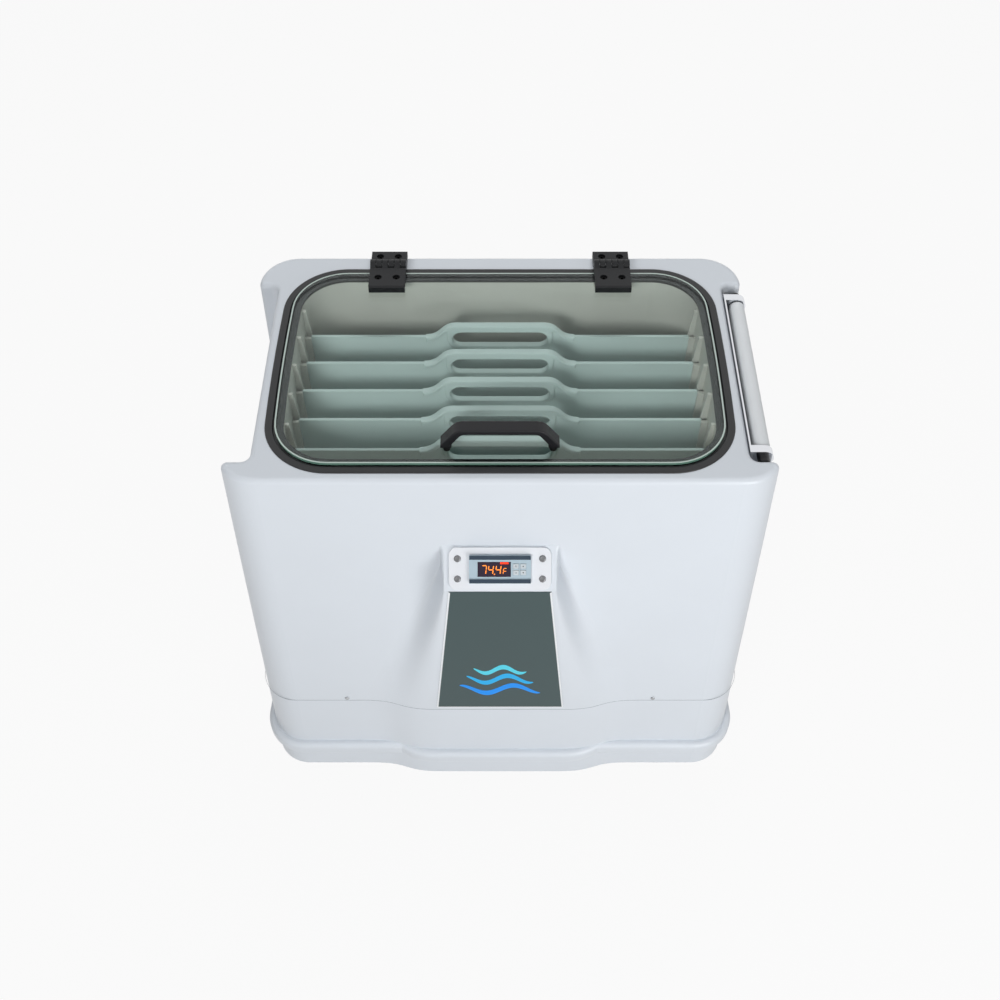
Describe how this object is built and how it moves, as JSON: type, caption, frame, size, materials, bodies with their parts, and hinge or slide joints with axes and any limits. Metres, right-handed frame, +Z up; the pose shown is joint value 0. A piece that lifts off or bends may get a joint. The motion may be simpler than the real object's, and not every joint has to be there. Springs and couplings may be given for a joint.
{
  "type": "hot pack heater",
  "caption": "Moist heat pack heater: a heated water tank with lift-out dividers under a hinged glass lid, in a moulded cabinet on casters, with a tilted controller and a folding shelf.",
  "frame": {"origin": "on the floor under the middle of the space the heater fills (bottom centre of its bounding box)", "axes": "+Z up, +Y towards the rear (hinge side), +X to the right of someone facing the controller"},
  "size_m": [0.7076, 0.4621, 0.798],
  "materials": {
    "bezel": "satin",
    "black_screw": "satin",
    "brass": "satin",
    "button": "matte",
    "cap": "gloss",
    "case": "satin",
    "chrome": "polished",
    "display": "gloss",
    "divider": "satin",
    "glass": "clear",
    "handle": "satin",
    "hinge": "satin",
    "housing": "satin",
    "inlet": "satin",
    "insulation": "soft foam",
    "label": "satin",
    "lever": "satin",
    "pipe": "satin",
    "plate": "gloss",
    "rocker": "gloss",
    "seal": "matte",
    "shelf": "satin",
    "steel": "brushed",
    "tank": "satin",
    "wheel": "matte",
    "zinc": "zinc plated"
  },
  "bodies": {
    "cabinet": {"base_housing": "housing", "bracket_screws": "steel", "caster_bolts": "zinc", "caster_plates": "zinc", "console_panel": "label", "controller_bezel": "bezel", "controller_case": "case", "controller_plate": "plate", "display_window": "display", "drain_pipe": "pipe", "drain_valve": "brass", "gland_nuts": "brass", "heating_element": "steel", "hinge_body_leaves": "hinge", "hinge_body_screws": "black_screw", "hinge_pins": "steel", "inlet_screws": "steel", "lid_seal": "seal", "pack_rack": "steel", "plate_screws": "steel", "power_inlet": "inlet", "rocker_frame": "inlet", "seam_screws": "steel", "shelf_bracket": "chrome", "shelf_pivots": "cap", "tank_insulation": "insulation", "temperature_probe": "steel", "upper_housing": "housing", "water_tank": "tank"},
    "lid": {"lid_glass": "glass", "lid_handle": "handle", "handle_studs": "steel", "lid_nuts": "steel", "hinge_lid_leaves": "hinge", "hinge_lid_screws": "black_screw"},
    "shelf": {"shelf_panel": "shelf"},
    "divider_1": {"divider_1": "divider"},
    "divider_2": {"divider_2": "divider"},
    "divider_3": {"divider_3": "divider"},
    "divider_4": {"divider_4": "divider"},
    "divider_5": {"divider_5": "divider"},
    "button_set": {"button_set": "button"},
    "button_up": {"button_up": "button"},
    "button_power": {"button_power": "button"},
    "button_down": {"button_down": "button"},
    "caster_1": {"caster_fork_1": "zinc", "caster_axle_1": "zinc"},
    "wheel_1": {"caster_wheel_1": "wheel"},
    "caster_2": {"caster_fork_2": "zinc", "caster_axle_2": "zinc"},
    "wheel_2": {"caster_wheel_2": "wheel"},
    "caster_3": {"caster_fork_3": "zinc", "caster_axle_3": "zinc"},
    "wheel_3": {"caster_wheel_3": "wheel"},
    "caster_4": {"caster_fork_4": "zinc", "caster_axle_4": "zinc"},
    "wheel_4": {"caster_wheel_4": "wheel"},
    "drain_lever": {"drain_lever": "lever"},
    "power_rocker": {"power_rocker": "rocker"}
  },
  "joints": [
    {"name": "lid_hinge", "type": "hinge", "parent": "cabinet", "child": "lid", "pos_m": [0, 0.17655, 0.7767], "axis": [-1, 0, 0], "range_deg": [0, 100]},
    {"name": "shelf_hinge", "type": "hinge", "parent": "cabinet", "child": "shelf", "pos_m": [0.309, -0.00595, 0.753], "axis": [0, -1, 0], "range_deg": [0, 90]},
    {"name": "divider_1_lift", "type": "slide", "parent": "cabinet", "child": "divider_1", "axis": [0, 0, 1], "range_m": [0, 0.014]},
    {"name": "divider_2_lift", "type": "slide", "parent": "cabinet", "child": "divider_2", "axis": [0, 0, 1], "range_m": [0, 0.014]},
    {"name": "divider_3_lift", "type": "slide", "parent": "cabinet", "child": "divider_3", "axis": [0, 0, 1], "range_m": [0, 0.014]},
    {"name": "divider_4_lift", "type": "slide", "parent": "cabinet", "child": "divider_4", "axis": [0, 0, 1], "range_m": [0, 0.014]},
    {"name": "divider_5_lift", "type": "slide", "parent": "cabinet", "child": "divider_5", "axis": [0, 0, 1], "range_m": [0, 0.014]},
    {"name": "set_press", "type": "slide", "parent": "cabinet", "child": "button_set", "axis": [0, 0.7224, -0.6915], "range_m": [0, 0.0006], "stiffness_N_per_m": 1000, "springref_m": -0.001},
    {"name": "up_press", "type": "slide", "parent": "cabinet", "child": "button_up", "axis": [0, 0.7224, -0.6915], "range_m": [0, 0.0006], "stiffness_N_per_m": 1000, "springref_m": -0.001},
    {"name": "power_press", "type": "slide", "parent": "cabinet", "child": "button_power", "axis": [0, 0.7224, -0.6915], "range_m": [0, 0.0006], "stiffness_N_per_m": 1000, "springref_m": -0.001},
    {"name": "down_press", "type": "slide", "parent": "cabinet", "child": "button_down", "axis": [0, 0.7224, -0.6915], "range_m": [0, 0.0006], "stiffness_N_per_m": 1000, "springref_m": -0.001},
    {"name": "caster_1_swivel", "type": "hinge", "parent": "cabinet", "child": "caster_1", "pos_m": [-0.268, -0.12545, 0.095], "axis": [0, 0, 1], "continuous": true},
    {"name": "wheel_1_roll", "type": "hinge", "parent": "caster_1", "child": "wheel_1", "pos_m": [-0.268, -0.10145, 0.0375], "axis": [1, 0, 0], "continuous": true},
    {"name": "caster_2_swivel", "type": "hinge", "parent": "cabinet", "child": "caster_2", "pos_m": [0.268, -0.12545, 0.095], "axis": [0, 0, 1], "continuous": true},
    {"name": "wheel_2_roll", "type": "hinge", "parent": "caster_2", "child": "wheel_2", "pos_m": [0.268, -0.10145, 0.0375], "axis": [1, 0, 0], "continuous": true},
    {"name": "caster_3_swivel", "type": "hinge", "parent": "cabinet", "child": "caster_3", "pos_m": [-0.268, 0.14455, 0.095], "axis": [0, 0, 1], "continuous": true},
    {"name": "wheel_3_roll", "type": "hinge", "parent": "caster_3", "child": "wheel_3", "pos_m": [-0.268, 0.16855, 0.0375], "axis": [1, 0, 0], "continuous": true},
    {"name": "caster_4_swivel", "type": "hinge", "parent": "cabinet", "child": "caster_4", "pos_m": [0.268, 0.14455, 0.095], "axis": [0, 0, 1], "continuous": true},
    {"name": "wheel_4_roll", "type": "hinge", "parent": "caster_4", "child": "wheel_4", "pos_m": [0.268, 0.16855, 0.0375], "axis": [1, 0, 0], "continuous": true},
    {"name": "drain_lever_turn", "type": "hinge", "parent": "cabinet", "child": "drain_lever", "pos_m": [-0.139, 0.13755, 0.075], "axis": [1, 0, 0], "range_deg": [0, 90]},
    {"name": "rocker_tilt", "type": "hinge", "parent": "cabinet", "child": "power_rocker", "pos_m": [0.095, 0.22042, 0.22203], "axis": [1, 0, 0], "range_deg": [0, 20]}
  ]
}
